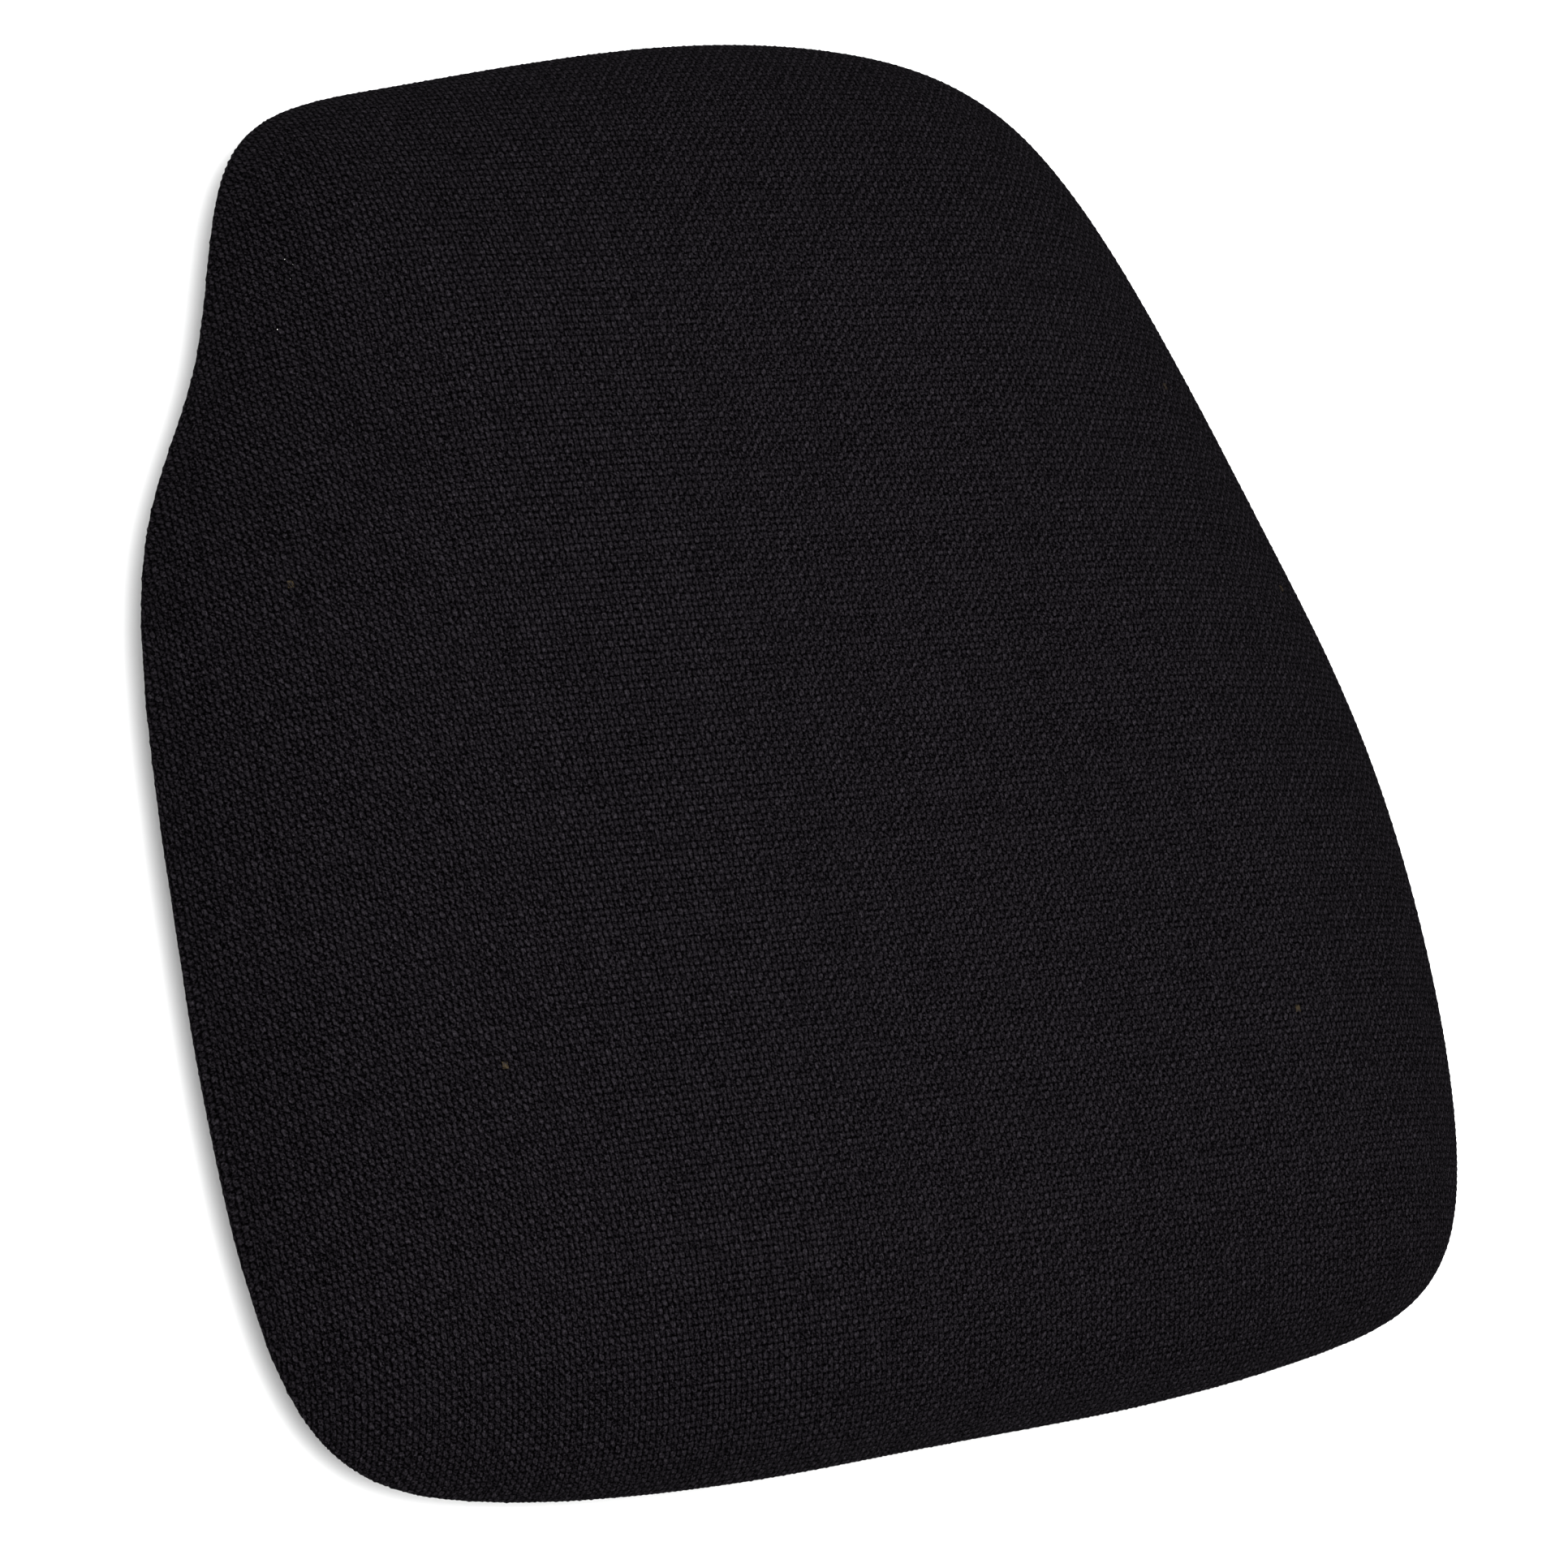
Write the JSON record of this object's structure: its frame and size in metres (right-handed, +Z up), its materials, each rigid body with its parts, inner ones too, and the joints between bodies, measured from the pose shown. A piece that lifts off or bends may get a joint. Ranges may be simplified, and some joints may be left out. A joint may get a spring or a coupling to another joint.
{
  "type": "booster seat",
  "caption": "Low armless booster seat: a crowned pad in woven fabric over foam and a board, tapering to the back, on a ribbed base pan with rubber feet.",
  "frame": {"origin": "under the middle of the seat, on the surface that its feet stand on", "axes": "+X across the seat to the sitter's left, as seen from the front on the right; +Y from the wide front edge to the narrow back edge; +Z up, out of the pad"},
  "size_m": [0.3796, 0.384, 0.047],
  "materials": {
    "cover_fabric": "coarse matt black plain weave",
    "wadding_fibre": "bonded white polyester fibre",
    "foam": "cream moulded seat foam",
    "board_wood": "raw birch plywood",
    "staple_steel": "galvanised",
    "nut_steel": "zinc plated",
    "pan_plastic": "fine moulded texture, black",
    "screw_steel": "zinc plated",
    "insert_brass": "knurled brass",
    "foot_rubber": "matt black"
  },
  "bodies": {
    "root": {"seat_cover": "cover_fabric", "fibre_wadding": "wadding_fibre", "seat_foam": "foam", "seat_board": "board_wood", "cover_staples": "staple_steel", "tee_nuts": "nut_steel", "base_pan": "pan_plastic", "pan_screws": "screw_steel", "frame_inserts": "insert_brass", "foot_front_left": "foot_rubber", "foot_front_right": "foot_rubber", "foot_rear_left": "foot_rubber", "foot_rear_right": "foot_rubber", "foot_washers": "nut_steel", "foot_screws": "screw_steel"}
  },
  "joints": []
}
